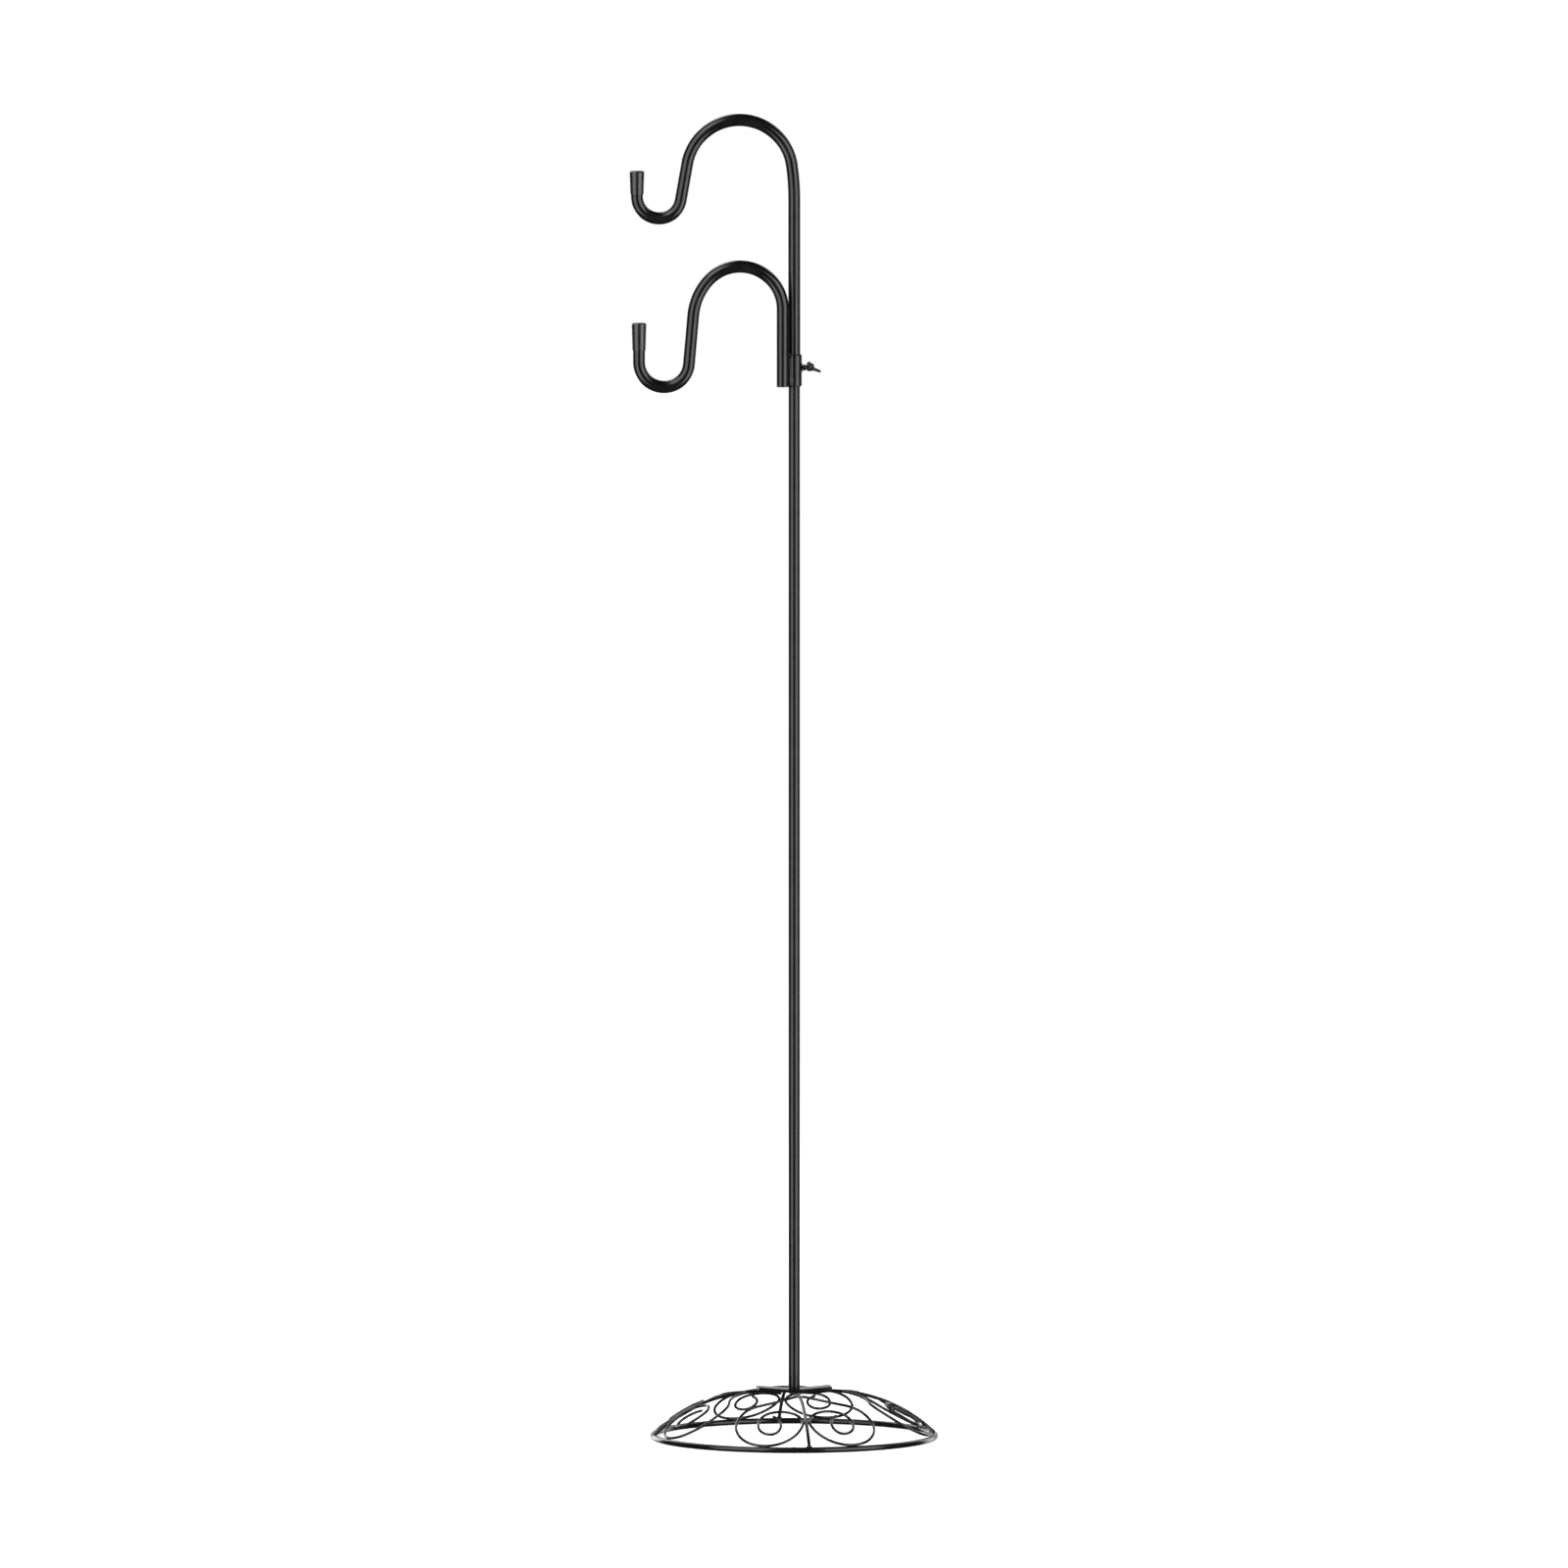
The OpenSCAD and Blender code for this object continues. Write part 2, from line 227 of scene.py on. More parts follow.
def circle(centre, tangent, up, radius, sides):
    """A ring of points square to the tangent, starting on the up side."""
    b = (up - up.dot(tangent) * tangent).normalized()
    c = tangent.cross(b)
    angles = [2 * math.pi * k / sides for k in range(sides)]
    return [centre + radius * (math.cos(a) * b + math.sin(a) * c) for a in angles]


def skin(rings, loop=False):
    """Vertices and faces over a row of rings. A ring of one point closes an end to a fan."""
    verts = [v for ring in rings for v in ring]
    first = np.cumsum([0] + [len(ring) for ring in rings]).tolist()
    faces = []
    pairs = list(zip(range(len(rings) - 1), range(1, len(rings))))
    if loop:
        pairs.append((len(rings) - 1, 0))
    for i, j in pairs:
        n, m = len(rings[i]), len(rings[j])
        for k in range(max(n, m)):
            a, b = first[i] + k % n, first[i] + (k + 1) % n
            c, d = first[j] + (k + 1) % m, first[j] + k % m
            faces.append(tuple(dict.fromkeys((a, b, c, d))))
    if not loop:
        for i, ring in ((0, rings[0]), (len(rings) - 1, rings[-1])):
            if len(ring) > 1:
                faces.append(tuple(range(first[i], first[i] + len(ring))))
    return verts, faces


def eased(length, edge, inner):
    """(distance, inset) pairs that round both ends of a rod by edge, with the inner distances between."""
    steps = 4
    turns = [math.pi / 2 * k / steps for k in range(steps + 1)]
    start = [(edge * (1 - math.cos(a)), edge * (1 - math.sin(a))) for a in turns]
    middle = [(s, 0.0) for s in inner if edge < s < length - edge]
    return start + middle + [(length - s, inset) for s, inset in reversed(start)]


def rod(place, length, stations, radius, sides, edge):
    """A solid round rod along a path."""
    return skin([circle(*place(s), radius - inset, sides) for s, inset in eased(length, edge, stations)])


def pipe(place, length, stations, outer, inner, sides, edge):
    """A hollow tube along a path, with eased rims."""
    rows = eased(length, edge, stations)
    outside = [circle(*place(s), outer - inset, sides) for s, inset in rows]
    inside = [circle(*place(s), inner + inset, sides) for s, inset in rows]
    return skin(outside + inside[::-1], loop=True)


def lathe(profile, sides, loop=False):
    """Turns (radius, height) points about the z axis. A radius of 0 is a point on the axis."""
    rings = []
    for r, z in profile:
        n = sides if r > 0 else 1
        rings.append([Vector((r * math.cos(a), r * math.sin(a), z))
                      for a in (2 * math.pi * k / n for k in range(n))])
    return skin(rings, loop)


def arc(centre_r, centre_z, radius, start, end, steps):
    """(radius, height) points on a circle, from one angle to another in degrees."""
    angles = [math.radians(start + (end - start) * k / steps) for k in range(steps + 1)]
    return [(centre_r + radius * math.cos(a), centre_z + radius * math.sin(a)) for a in angles]


def moved(shape, matrix):
    """The same shape, moved by a matrix."""
    verts, faces = shape
    return [matrix @ v for v in verts], faces


def joined(shapes):
    """Several shapes as one."""
    verts, faces = [], []
    for part_verts, part_faces in shapes:
        faces += [tuple(i + len(verts) for i in f) for f in part_faces]
        verts += part_verts
    return verts, faces


def screw_matrix(spin=0.0):
    """Stands a shape that is drawn along +z on the wing screw's axis, from the pole's centre outwards."""
    aim = SCREW_AXIS.to_track_quat("Z", "X").to_matrix().to_4x4()
    return Matrix.Translation(SCREW_AT) @ aim @ Matrix.Rotation(math.radians(spin), 4, "Z")


def mesh_piece(name, shape, material, body, replaces=(), sharp=40):
    """One smooth-shaded piece that rides on a body."""
    verts, faces = shape
    data = bpy.data.meshes.new(name)
    data.from_pydata([v * MM for v in verts], [], faces)
    bm = bmesh.new()
    bm.from_mesh(data)
    bmesh.ops.recalc_face_normals(bm, faces=bm.faces)
    bm.to_mesh(data)
    bm.free()
    data.shade_smooth()
    data.set_sharp_from_angle(angle=math.radians(sharp))
    data.materials.append(material)
    piece = bpy.data.objects.new(name, data)
    bpy.context.scene.collection.objects.link(piece)
    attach(piece, body)
    if replaces:
        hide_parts(*replaces)
    return piece


def apply_modifiers(piece, sharp=40):
    """Makes the piece's modifiers part of its mesh."""
    graph = bpy.context.evaluated_depsgraph_get()
    graph.update()
    data = bpy.data.meshes.new_from_object(piece.evaluated_get(graph))
    piece.modifiers.clear()
    piece.data = data
    data.shade_smooth()
    data.set_sharp_from_angle(angle=math.radians(sharp))


# ---- materials ----


class Finish:
    """A Principled material with small helpers for its node tree. Texture sizes are in millimetres."""

    def __init__(self, name, **sockets):
        self.material = bpy.data.materials.new(name)
        self.material.use_nodes = True
        self.tree = self.material.node_tree
        self.shader = self.tree.nodes["Principled BSDF"]
        for socket, value in sockets.items():
            self.shader.inputs[socket.replace("_", " ")].default_value = value
        self.place = self.node("ShaderNodeTexCoord").outputs["Object"]

    def node(self, kind, **settings):
        made = self.tree.nodes.new(kind)
        for key, value in settings.items():
            setattr(made, key, value)
        return made

    def link(self, a, b):
        self.tree.links.new(a, b)

    def noise(self, size, detail, stretch=(1, 1, 1)):
        """Noise whose features are about size millimetres across."""
        scale = self.node("ShaderNodeMapping")
        scale.inputs["Scale"].default_value = stretch
        self.link(self.place, scale.inputs["Vector"])
        made = self.node("ShaderNodeTexNoise")
        made.inputs["Scale"].default_value = 1 / (size * MM)
        made.inputs["Detail"].default_value = detail
        self.link(scale.outputs["Vector"], made.inputs["Vector"])
        return made.outputs["Fac"]

    def ramp(self, source, low, high):
        """Colours or greys between two stops."""
        stops = (0.35, 0.65)
        made = self.node("ShaderNodeValToRGB")
        for element, stop, value in zip(made.color_ramp.elements, stops, (low, high)):
            element.position = stop
            element.color = (*value, 1) if hasattr(value, "__len__") else (value, value, value, 1)
        self.link(source, made.inputs["Fac"])
        return made.outputs["Color"]

    def bump(self, source, height, strength):
        """A normal raised by a source. The height is in millimetres."""
        made = self.node("ShaderNodeBump")
        made.inputs["Distance"].default_value = height * MM
        made.inputs["Strength"].default_value = strength
        self.link(source, made.inputs["Height"])
        return made.outputs["Normal"]

    def feed(self, socket, source):
        self.link(source, self.shader.inputs[socket])


def powder_coat():
    """Semi-gloss black powder coat: orange peel and uneven gloss."""
    f = Finish("powder_coat", Roughness=0.17)
    f.feed("Base Color", f.ramp(f.noise(14, 4), (0.003, 0.003, 0.0033), (0.006, 0.006, 0.0063)))
    f.feed("Roughness", f.ramp(f.noise(6, 3), 0.14, 0.20))
    f.feed("Normal", f.bump(f.noise(1.6, 1), 0.005, 0.3))
    return f.material


def cap_plastic():
    """Glossy black moulded plastic with faint flow marks."""
    f = Finish("cap_plastic", Roughness=0.2, Specular_IOR_Level=0.7)
    f.feed("Base Color", f.ramp(f.noise(9, 3), (0.006, 0.006, 0.006), (0.011, 0.011, 0.012)))
    f.feed("Roughness", f.ramp(f.noise(3, 4, (1, 1, 0.3)), 0.16, 0.26))
    f.feed("Normal", f.bump(f.noise(2.4, 2, (1, 1, 0.25)), 0.01, 0.5))
    return f.material


def cast_black():
    """Black painted zinc casting: a coarser skin than the tubes."""
    f = Finish("cast_black", Roughness=0.38)
    f.feed("Base Color", f.ramp(f.noise(5, 4), (0.008, 0.008, 0.008), (0.016, 0.016, 0.016)))
    f.feed("Roughness", f.ramp(f.noise(1.5, 3), 0.32, 0.46))
    f.feed("Normal", f.bump(f.noise(0.7, 3), 0.03, 0.6))
    return f.material


def weld_black():
    """Weld metal under the same coat, with its ripples."""
    f = Finish("weld_black", Roughness=0.4)
    f.feed("Base Color", f.ramp(f.noise(3, 3), (0.007, 0.007, 0.0075), (0.014, 0.014, 0.0145)))
    f.feed("Roughness", f.ramp(f.noise(1.2, 3), 0.3, 0.45))
    f.feed("Normal", f.bump(f.noise(0.9, 2), 0.05, 0.7))
    return f.material


def zinc_steel():
    """Bright zinc plate with a faint yellow and blue cast and fine drawn scratches."""
    f = Finish("zinc_steel", Metallic=1.0, Roughness=0.3)
    f.feed("Base Color", f.ramp(f.noise(7, 4), (0.56, 0.57, 0.61), (0.68, 0.67, 0.63)))
    f.feed("Roughness", f.ramp(f.noise(1.5, 4, (1, 1, 6)), 0.24, 0.42))
    f.feed("Normal", f.bump(f.noise(0.4, 3, (1, 1, 8)), 0.006, 0.6))
    return f.material


def black_zinc():
    """Black zinc plate on the screws: a thin, slightly uneven satin skin."""
    f = Finish("black_zinc", Metallic=0.6, Roughness=0.35)
    f.feed("Base Color", f.ramp(f.noise(4, 3), (0.016, 0.016, 0.018), (0.034, 0.034, 0.036)))
    f.feed("Roughness", f.ramp(f.noise(1.5, 3), 0.3, 0.45))
    f.feed("Normal", f.bump(f.noise(0.4, 2), 0.004, 0.5))
    return f.material


# ---- base ----


def rim_wire(material):
    """The rim's round wire, with the raised flash of its butt weld at the front."""
    sides, around = 28, 360
    flash_height, flash_half, flash_under = 0.3, 1.1, 0.5
    rings = []
    for k in range(around):
        a = 2 * math.pi * k / around - math.pi / 2
        offset = RING_R * min(k, around - k) * 2 * math.pi / around
        bulge = flash_height * math.exp(-((offset / flash_half) ** 2))
        out, along = Vector((math.cos(a), math.sin(a), 0)), Vector((-math.sin(a), math.cos(a), 0))
        centre = RING_R * out + (RING_LOW.z + RING_WIRE_R) * UP
        ring = circle(centre, along, UP, RING_WIRE_R, sides)
        lift = [max(0, (v - centre).z / RING_WIRE_R + flash_under) for v in ring]
        rings.append([v + (v - centre).normalized() * bulge * up for v, up in zip(ring, lift)])
    mesh_piece("rim_wire", skin(rings, loop=True), material, "base", ["rim_ring"])


def rib_path(degrees, start_r):
    """A sloped run near the pole, a short bend, and the dome's arc into the ring."""
    slope = math.radians(degrees)
    run_r = DOME_FLAT_R - RIB_BEND_R * math.sin(slope)
    run_z = DOME_Z - RIB_BEND_R * (1 - math.cos(slope))
    start = (start_r, run_z - (run_r - start_r) * math.tan(slope))
    run = (run_r - start_r) / math.cos(slope)
    return Path([(run, 0), (RIB_BEND_R, -degrees), (DOME_R, -RIB_SWEEP)], start, degrees)


def cross_slope():
    """Slope of the front and back ribs, which pass just under the strap's edges."""
    rise, run = DOME_Z - RIB_BEND_R - STRAP_LOW.z, DOME_FLAT_R - STRAP_W / 2
    whole = math.acos(-(RIB_BEND_R + RIB_CLEAR) / math.hypot(rise, run))
    return math.degrees(whole - math.atan2(run, rise))


def ribs(material):
    """The four ribs. Their lower ends run into the rim's wire."""
    into_rim = 0.6
    side = rib_path(STRAP_SLOPE, SIDE_START_R)
    cross = rib_path(cross_slope(), CROSS_START_R)
    paths = {}
    for name, turn in QUADRANTS.items():
        path = cross if name in ("front", "back") else side
        length = path.length - (RING_WIRE_R - into_rim)
        shape = rod(rib_place(path, turn), length, path.stations(2), RIB_R, sides=20, edge=0.5)
        mesh_piece(f"rib_wire_{name}", shape, material, "base", [f"rib_{name}"])
        paths[turn] = path
    return paths


def scrolls(material):
    """The eight scrolls, each a bent wire on the dome."""
    path = Path(SCROLL_STEPS, SCROLL_START, SCROLL_HEADING)
    for name, (turn, side) in SCROLLS.items():
        place = scroll_place(path, side, turn)
        shape = rod(place, path.length, path.stations(4), SCROLL_R, sides=18, edge=0.5)
        mesh_piece(name.replace("scroll", "scroll_wire"), shape, material, "base", [name])
    return path


def bead(centre, along, up, length, width, height, seed):
    """A lumpy drop of weld metal."""
    lump, lump_scale = 0.16, 1.7
    bm = bmesh.new()
    bmesh.ops.create_icosphere(bm, subdivisions=3, radius=1)
    side = along.cross(up).normalized()
    up = side.cross(along).normalized()
    verts = []
    for v in bm.verts:
        p = v.co * (1 + lump * noise.noise(v.co * lump_scale + Vector((seed, 0, 0))))
        verts.append(centre + along * p.x * length / 2 + side * p.y * width / 2 + up * p.z * height / 2)
    faces = [tuple(v.index for v in f.verts) for f in bm.faces]
    bm.free()
    return verts, faces


def nearest(points, others):
    """Indices of the closest pair between two rows of points."""
    a, b = np.array(points), np.array(others)
    gaps = np.linalg.norm(a[:, None] - b[None], axis=2)
    i, j = np.unravel_index(gaps.argmin(), gaps.shape)
    return int(i), int(j)


def base_welds(material, rib_paths, scroll):
    """Beads where the wires touch, with the wires sampled every millimetre.

    Each scroll touches its rib near its upper end and again at the kiss, and the rim at its lowest
    point. Each rib runs into the rim, and is welded along both its sides where it lies under the strap.
    """
    top, kiss_from, kiss_to, rim_steps = 2, 150, 260, 720
    rim_angles = (2 * math.pi * k / rim_steps for k in range(rim_steps))
    rim_z = RING_LOW.z + RING_WIRE_R
    rim = [Vector((RING_R * math.cos(a), RING_R * math.sin(a), rim_z)) for a in rim_angles]
    beads = []
    for number, (turn, side) in enumerate(SCROLLS.values()):
        seed = 3.1 * number
        rib = rib_paths[turn]
        place, rib_at = scroll_place(scroll, side, turn), rib_place(rib, turn)
        wire = [place(k) for k in range(int(scroll.length))]
        wire_line = [centre for centre, _, _ in wire]
        rib_line = [rib_at(k)[0] for k in range(int(rib.length))]
        kiss = kiss_from + nearest(wire_line[kiss_from:kiss_to], rib_line)[0]
        for index, target in ((top, rib_line), (kiss, rib_line), (nearest(wire_line, rim)[0], rim)):
            centre, along, up = wire[index]
            other = target[nearest([centre], target)[1]]
            middle = (centre + other) / 2
            beads.append(bead(middle, along, up, length=6.5, width=2.6, height=2.3, seed=seed + index))
    inset, rib_side, sunk = 2.5, 0.75 * RIB_R, 0.3
    for turn, rib in rib_paths.items():
        place, across_strap = rib_place(rib, turn), turn in (0, 180)
        end, along, across = place(rib.length - RING_WIRE_R)
        beads.append(bead(end, across, along, length=6.4, width=4.6, height=2.6, seed=turn / 7))
        under_strap = (inset,) if across_strap else (3.0, STRAP_REACH - SIDE_START_R - inset)
        for distance in under_strap:
            centre, along, across = place(distance)
            for side in (-1, 1):
                foot = centre + across * side * rib_side + UP * (RIB_R - sunk)
                seed = turn / 5 + distance + side
                beads.append(bead(foot, along, UP, length=6.5, width=2.4, height=1.8, seed=seed))
    mesh_piece("base_welds", joined(beads), material, "base", sharp=80)


def strap(material):
    """A flat bar with two arms that are bent up a little, and the bolt's hole."""
    half, bend, corner, edge = STRAP_W / 2, 3.0, 1.6, 0.5
    hole_r, through = 3.3, 2
    slope = math.tan(math.radians(STRAP_SLOPE))

    def lift(x):
        """Height of the bar above its flat middle."""
        over = abs(x) - STRAP_FLAT_R
        if over >= bend:
            return slope * over
        return slope * max(0.0, over + bend) ** 2 / (4 * bend)

    inner = [STRAP_FLAT_R + bend * k / 4 for k in range(-4, 5)]
    stations = [-STRAP_REACH, *(-x for x in reversed(inner)), *inner, STRAP_REACH]
    section = ((-half, 0), (half, 0), (half, STRAP_T), (-half, STRAP_T))
    verts, faces = skin([[Vector((x, y, STRAP_LOW.z + lift(x) + z)) for y, z in section]
                         for x in stations])
    bm = bmesh.new()
    made = [bm.verts.new(v) for v in verts]
    for face in faces:
        bm.faces.new([made[i] for i in face])
    tips = [e for e in bm.edges if all(abs(v.co.x) == STRAP_REACH for v in e.verts)
            and e.verts[0].co.y == e.verts[1].co.y]
    bmesh.ops.bevel(bm, geom=tips, offset=corner, segments=5, affect="EDGES", profile=0.5)
    index = {v: i for i, v in enumerate(bm.verts)}
    turn = Matrix.Rotation(math.radians(BASE_TURN), 3, "Z")
    shape = [turn @ v.co for v in bm.verts], [tuple(index[v] for v in f.verts) for f in bm.faces]
    bm.free()
    piece = mesh_piece("strap_steel", shape, material, "base", ["base_strap"])
    bevel = piece.modifiers.new("edges", "BEVEL")
    bevel.width = edge * MM
    bevel.segments = 3
    bevel.limit_method = "ANGLE"
    bevel.angle_limit = math.radians(40)
    apply_modifiers(piece)
    low, high = STRAP_LOW.z - through, STRAP_LOW.z + STRAP_T + through
    plug = lathe([(0, low), (hole_r, low), (hole_r, high), (0, high)], sides=48)
    drill = mesh_piece("drill", plug, material, "base")
    cut = piece.modifiers.new("hole", "BOOLEAN")
    cut.object = drill
    cut.solver = "EXACT"
    apply_modifiers(piece)
    bpy.data.objects.remove(drill)


# ---- pole ----


def pole_tube(material):
    """The lower pole: a plain round tube."""
    bottom, top = POLE_LOW.z, POLE_HIGH.z
    def place(distance):
        return Vector((0, 0, bottom + distance)), UP, BACK
    shape = pipe(place, top - bottom, [], POLE_R, POLE_R - WALL, sides=72, edge=0.25)
    mesh_piece("pole_tube", shape, material, "pole", ["lower_pole"])


def thread(radius, pitch, low, high, sides):
    """Rings of a right-handed V thread, faded out at both ends, where it is also chamfered."""
    per_turn, depth, chamfer = 10, 0.55 * pitch, 0.4
    rings = []
    count = math.ceil((high - low) / pitch * per_turn)
    for k in range(count + 1):
        z = low + (high - low) * k / count
        fade = min(1, (z - low) / pitch, (high - z) / pitch)
        ring = []
        for i in range(sides):
            a = 2 * math.pi * i / sides
            phase = (z / pitch - i / sides) % 1
            r = radius - depth * fade * (1 - abs(2 * phase - 1)) - chamfer * (1 - fade)
            ring.append(Vector((r * math.cos(a), r * math.sin(a), z)))
        rings.append(ring)
    return rings


def hex_ring(across, z, sides):
    """A hexagon's outline as a ring. The size is across its flats."""
    ring = []
    for k in range(sides):
        a = 2 * math.pi * k / sides
        fold = (a + math.pi / 6) % (math.pi / 3) - math.pi / 6
        r = across / 2 / math.cos(fold)
        ring.append(Vector((r * math.cos(a), r * math.sin(a), z)))
    return ring


def bolt(material):
    """M6 screw with a low domed head, a hexagon socket and a cut thread."""
    head_r, head_h, rim, socket, depth, edge = 6.5, 2.8, 0.8, 4.0, 2.0, 0.2
    thread_r, pitch, into_head = 3, 1.0, 0.5
    sides, dome_steps = 72, 8
    low, seat, dome_h = BOLT_LOW.z, BOLT_LOW.z + head_h, head_h - rim
    ball_r = (head_r ** 2 + dome_h ** 2) / (2 * dome_h)
    mouth = socket / 2 / math.cos(math.pi / 6) + edge
    head = [[Vector((0, 0, low + depth))]]
    head += [hex_ring(socket, z, sides) for z in (low + depth, low + 2 * edge)]
    profile = []
    for k in range(dome_steps + 1):
        r = mouth + (head_r - mouth) * k / dome_steps
        profile.append((r, low + ball_r - math.sqrt(ball_r ** 2 - r ** 2)))
    profile += [(head_r, seat - edge), (head_r - edge, seat)]
    head += [circle(Vector((0, 0, z)), UP, Vector((1, 0, 0)), r, sides) for r, z in profile]
    head.append([Vector((0, 0, seat))])
    shank = thread(thread_r, pitch, seat - into_head, BOLT_HIGH.z, sides=32)
    shape = joined([skin(head), skin(shank)])
    mesh_piece("domed_bolt", shape, material, "pole", ["base_bolt"], sharp=30)


# ---- hooks ----


def hook(name, node, steps, start, y, material, body):
    """A bent tube in a plane of constant y, drawn from its lower end upwards."""
    path = Path(steps, start, 90)
    place, stations = hook_place(path, y), path.stations(2)
    shape = pipe(place, path.length, stations, HOOK_R, HOOK_R - WALL, sides=64, edge=0.3)
    mesh_piece(name, shape, material, body, [node])


def cap(name, node, material, body):
    """A push-on cap that tapers down to its lip and has a flat end with a rounded edge."""
    low, high = box_mm(node)
    centre = (low + high) / 2
    top_r, length = (high.x - low.x) / 2, high.z - low.z
    lip_r, lip_edge, round_r, end_t = 7.0, 0.28, 1.7, 3.0
    bore, bore_edge, flat_ring = HOOK_R + 0.02, 0.1, 0.6
    round_at = top_r - round_r
    profile = [(0, length), (round_at - flat_ring, length)]
    profile += arc(round_at, length - round_r, round_r, 90, 0, steps=8)
    profile += [(lip_r, lip_edge), *arc(lip_r - lip_edge, lip_edge, lip_edge, 0, -90, steps=4)]
    profile += [(bore + bore_edge, 0), (bore, bore_edge), (bore, length - end_t), (0, length - end_t)]
    shape = moved(lathe(profile, sides=72), Matrix.Translation((centre.x, centre.y, low.z)))
    mesh_piece(name, shape, material, body, [node])


# ---- clamp ----


def sleeve(material):
    """The sleeve: eased ends, and a shallow press mark low on its front."""
    bore, edge, bore_edge, rows = 6.45, 1.2, 0.3, 44
    low, high = SLEEVE_LOW.z, SLEEVE_HIGH.z
    mark_z, mark_turn, mark_r, mark_depth, mark_fall = low + 7.0, math.radians(-107), 2.0, 0.2, 2.5
    profile = arc(SLEEVE_R - edge, low + edge, edge, -90, 0, steps=5)
    profile += [(SLEEVE_R, low + edge + (high - low - 2 * edge) * k / rows) for k in range(1, rows)]
    profile += arc(SLEEVE_R - edge, high - edge, edge, 0, 90, steps=5)
    profile += [(bore + bore_edge, high), (bore, high - bore_edge)]
    profile += [(bore, low + bore_edge), (bore + bore_edge, low)]
    verts, faces = lathe(profile, sides=120, loop=True)
    mark = Vector((SLEEVE_R * math.cos(mark_turn), SLEEVE_R * math.sin(mark_turn), mark_z))
    for v in verts:
        reach = (v - mark).length / mark_r
        if reach < 1.5:
            v.xy -= v.xy.normalized() * mark_depth * math.exp(-mark_fall * reach * reach)
    mesh_piece("sleeve_body", (verts, faces), material, "lower_hook", ["clamp_sleeve"])


def boss(material):
    """A bored boss that flares into the sleeve."""
    end, tip_r, foot_r, bore = 12.0, 3.3, 5.6, 2.55
    sunk, edge, bore_edge, flare, steps = 1.2, 0.4, 0.2, 1.8, 10
    start, shoulder = SLEEVE_R - sunk, end - edge
    profile = [(bore, start)]
    for k in range(steps + 1):
        t = k / steps
        profile.append((tip_r + (foot_r - tip_r) * (1 - t) ** flare, start + (shoulder - start) * t))
    profile += arc(tip_r - edge, shoulder, edge, 0, 90, steps=4)
    profile += [(bore + bore_edge, end), (bore, end - bore_edge)]
    shape = moved(lathe(profile, sides=64, loop=True), screw_matrix())
    mesh_piece("boss_flare", shape, material, "lower_hook", ["threaded_boss"])


def clamp_welds(material, tail):
    """Beads down both valleys between the sleeve and the hook's tail."""
    outward = Vector((tail.x, tail.y, 0)).normalized()
    aside = outward.cross(UP)
    count, pitch, start, sunk, half_gap = 16, 1.7, 3.2, 0.9, 3.0
    beads = []
    for side in (-1, 1):
        for k in range(count):
            z = SLEEVE_LOW.z + start + pitch * k
            centre = outward * (SLEEVE_R - sunk) + aside * side * half_gap + UP * z
            beads.append(bead(centre, UP, outward, length=3.4, width=2.6, height=3.0, seed=5 * side + k))
    mesh_piece("clamp_welds", joined(beads), material, "lower_hook", sharp=80)


def stud(material):
    """The wing screw's threaded stud, from the pole's skin into the head."""
    low, high = 6.65, 20.0
    shape = moved(skin(thread(STUD_R, STUD_PITCH, low, high, sides=40)), screw_matrix())
    mesh_piece("stud_threaded", shape, material, "wing_stud", ["clamp_stud"])


def hub():
    """The wing head's hub: a closed drum that tapers towards its rounded end."""
    low, high, foot_r, end_r, round_r = 15.0, 21.5, 4.3, 3.6, 1.2
    profile = [(0, low), (foot_r - 0.4, low), (foot_r, low + 0.5), (end_r + 0.3, high - round_r - 0.4)]
    profile += [*arc(end_r - 0.9, high - round_r, round_r, 10, 80, steps=4), (0, high)]
    return lathe(profile, sides=40)


def ear(side):
    """One wing, from inside the hub to its rounded tip. It rises and gets thinner on its way out."""
    root, span, root_z, rise, curl, bow = 2.0, 12.6, 17.6, 5.2, 1.15, 0.5
    root_wide, swell, root_thick, tip_thick = 2.3, 1.0, 1.35, 1.0
    square_x, square_z, steps, sides = 0.7, 0.8, 14, 20
    rings = []
    for k in range(steps + 1):
        t = k / steps
        z = root_z + rise * t ** curl + bow * math.sin(math.pi * t)
        rounding = math.sqrt(max(0.02, 1 - t ** 6))
        wide = (root_wide + swell * math.sin(math.pi * min(1, t * 0.75 + 0.15))) * rounding
        thick = root_thick + (tip_thick - root_thick) * t
        ring = []
        for i in range(sides):
            a = 2 * math.pi * i / sides
            flat = math.copysign(abs(math.cos(a)) ** square_x, math.cos(a))
            tall = math.copysign(abs(math.sin(a)) ** square_z, math.sin(a))
            ring.append(Vector((thick * flat, side * (root + span * t), z + wide * tall)))
        rings.append(ring)
    return skin(rings)


def wing_casting(material):
    """The wing screw's head: the hub and two ears, run together as one casting."""
    shape = moved(joined([hub(), ear(-1), ear(1)]), screw_matrix(WING_TURN))
    piece = mesh_piece("wing_casting", shape, material, "wing_head", ["wing_head"])
    remesh = piece.modifiers.new("cast", "REMESH")
    remesh.mode = "VOXEL"
    remesh.voxel_size = 0.24 * MM
    smooth = piece.modifiers.new("soften", "SMOOTH")
    smooth.factor = 0.5
    smooth.iterations = 6
    apply_modifiers(piece, sharp=60)


# ---- studio ----


def smooth_range(tree, source, start, end, low, high):
    """A value that goes smoothly from low to high while its source goes from start to end."""
    made = tree.nodes.new("ShaderNodeMapRange")
    made.interpolation_type = "SMOOTHSTEP"
    for socket, value in (("From Min", start), ("From Max", end), ("To Min", low), ("To Max", high)):
        made.inputs[socket].default_value = value
    tree.links.new(source, made.inputs["Value"])
    return made.outputs["Result"]


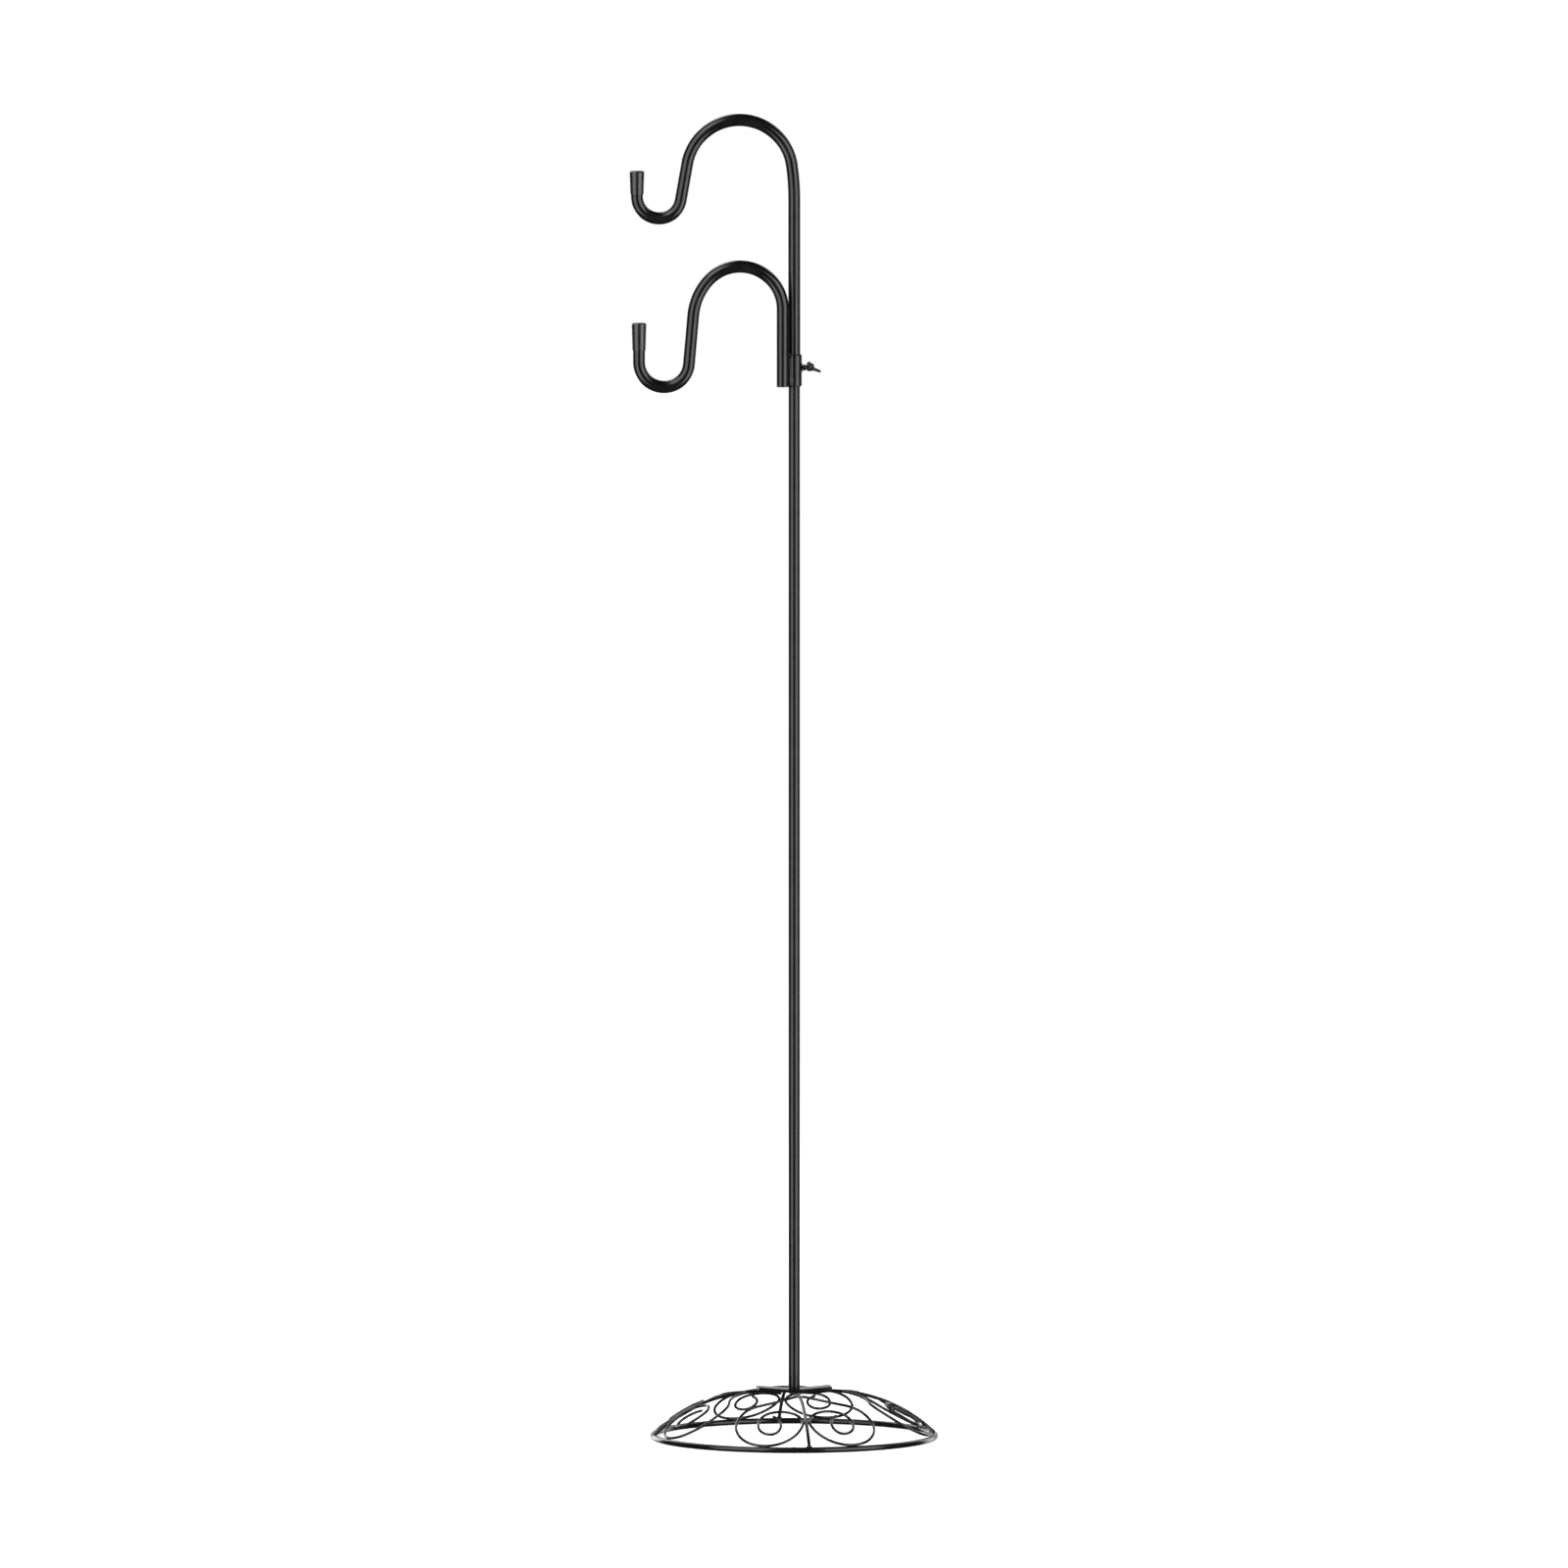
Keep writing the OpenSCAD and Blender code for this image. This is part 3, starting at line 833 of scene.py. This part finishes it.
def glowing_floor_paper():
    """White paper with a painted glow: its emission stands in for studio light, full white farther out and weaker
    near the stand, where the lamps light it and it takes a faint cast shadow.
    """
    near, far, near_glow = 0.25, 1.3, 0.72
    f = Finish("glowing_floor_paper", Roughness=0.9, Specular_IOR_Level=0.0)
    f.shader.inputs["Base Color"].default_value = (0.8, 0.8, 0.8, 1)
    f.shader.inputs["Emission Color"].default_value = (1, 1, 1, 1)
    spread = f.node("ShaderNodeVectorMath", operation="LENGTH")
    f.link(f.place, spread.inputs[0])
    # Painted light: the emission glow is weaker near the stand and full white farther out.
    f.feed("Emission Strength", smooth_range(f.tree, spread.outputs["Value"], near, far, near_glow, 1.0))
    return f.material


def surround():
    """White to the camera. To the stand it is dark, but for the white paper far behind it."""
    edge_y, full_y, dark, bright = 0.80, 0.97, 0.015, 0.8
    world = bpy.data.worlds.new("surround")
    bpy.context.scene.world = world
    world.use_nodes = True
    tree = world.node_tree
    tree.nodes.clear()
    out = tree.nodes.new("ShaderNodeOutputWorld")
    mix = tree.nodes.new("ShaderNodeMixShader")
    ray = tree.nodes.new("ShaderNodeLightPath")
    seen, felt = tree.nodes.new("ShaderNodeBackground"), tree.nodes.new("ShaderNodeBackground")
    seen.inputs["Color"].default_value = (1, 1, 1, 1)
    direction = tree.nodes.new("ShaderNodeTexCoord").outputs["Generated"]
    split = tree.nodes.new("ShaderNodeSeparateXYZ")
    tree.links.new(direction, split.inputs["Vector"])
    behind = smooth_range(tree, split.outputs["Y"], edge_y, full_y, dark, bright)
    tree.links.new(behind, felt.inputs["Strength"])
    tree.links.new(ray.outputs["Is Camera Ray"], mix.inputs["Fac"])
    tree.links.new(felt.outputs["Background"], mix.inputs[1])
    tree.links.new(seen.outputs["Background"], mix.inputs[2])
    tree.links.new(mix.outputs["Shader"], out.inputs["Surface"])


def softbox(name, azimuth, distance, height, width, tall, power):
    """A rectangular lamp around the stand, aimed at its middle."""
    middle = Vector((0, 0, 0.7))
    light = bpy.data.lights.new(name, "AREA")
    light.shape = "RECTANGLE"
    light.size, light.size_y = width, tall
    light.energy = power
    lamp = bpy.data.objects.new(name, light)
    a = math.radians(azimuth)
    lamp.location = (distance * math.sin(a), -distance * math.cos(a), height)
    lamp.rotation_euler = (middle - lamp.location).to_track_quat("-Z", "Y").to_euler()
    bpy.context.scene.collection.objects.link(lamp)


def studio():
    """Pale floor, white surround, tall soft boxes at the four corners and a small one above."""
    scene = bpy.context.scene
    scene.view_settings.view_transform = "Standard"
    surround()
    reach = 25.0
    corners = [(x * reach, y * reach, 0) for x, y in ((-1, -1), (1, -1), (1, 1), (-1, 1))]
    data = bpy.data.meshes.new("floor")
    data.from_pydata(corners, [], [(0, 1, 2, 3)])
    data.materials.append(glowing_floor_paper())
    floor = bpy.data.objects.new("floor", data)
    scene.collection.objects.link(floor)
    floor.visible_glossy = False
    floor.visible_shadow = False
    # name, azimuth in degrees from the front, distance, height, width and tallness in metres, power in watts
    for lamp in (
        ("box_left", -45, 3.2, 1.3, 3.0, 6.0, 130),
        ("box_right", 50, 3.2, 0.8, 3.0, 5.0, 130),
        ("box_above", -50, 2.0, 3.6, 1.4, 1.4, 15),
        ("box_back_left", -146, 2.6, 1.8, 1.4, 5.6, 75),
        ("box_back_right", 140, 3.0, 1.2, 1.2, 5.0, 45),
    ):
        softbox(*lamp)


def camera():
    """A very long lens that looks down on the stand by a few degrees, with hardly any perspective."""
    distance, elevation, view_width = 60.0, math.radians(5.4), 1.6
    target = Vector((-0.0104, 0, 0.6714))
    data = bpy.data.cameras.new("camera")
    data.sensor_width = 36
    data.lens = data.sensor_width * distance / view_width
    data.clip_end = 3 * distance
    cam = bpy.data.objects.new("camera", data)
    cam.location = target + distance * Vector((0, -math.cos(elevation), math.sin(elevation)))
    cam.rotation_euler = (target - cam.location).to_track_quat("-Z", "Y").to_euler()
    bpy.context.scene.collection.objects.link(cam)
    bpy.context.scene.camera = cam


def main():
    camera()
    studio()
    coat, welds, cast, plastic = powder_coat(), weld_black(), cast_black(), cap_plastic()
    zinc, dark_zinc = zinc_steel(), black_zinc()

    rim_wire(coat)
    rib_paths = ribs(coat)
    base_welds(welds, rib_paths, scrolls(coat))
    strap(coat)

    pole_tube(coat)
    bolt(dark_zinc)
    hook("top_hook_bent", "top_hook_tube", TOP_STEPS, (0, TOP_LOW.z), 0, coat, "top_hook")
    cap("top_cap", "top_end_cap", plastic, "top_hook")
    tail_y = (TAIL_LOW.y + TAIL_HIGH.y) / 2
    tail = Vector((TAIL_HIGH.x - HOOK_R, tail_y, SLEEVE_LOW.z))
    hook("lower_hook_bent", "lower_hook_tube", LOWER_STEPS, (tail.x, tail.z), tail.y, coat, "lower_hook")
    cap("lower_cap", "lower_end_cap", plastic, "lower_hook")

    sleeve(coat)
    boss(coat)
    clamp_welds(welds, tail)
    stud(dark_zinc)
    wing_casting(cast)

    finishes = {"powder_coat": coat, "end_cap": plastic, "cast_head": cast,
                "zinc_steel": zinc, "black_zinc": dark_zinc}
    for row in frame["record"]["subparts"]:
        node = frame["nodes"][row["node"]]
        node.data.materials.clear()
        node.data.materials.append(finishes[row["material_slot"]])


main()
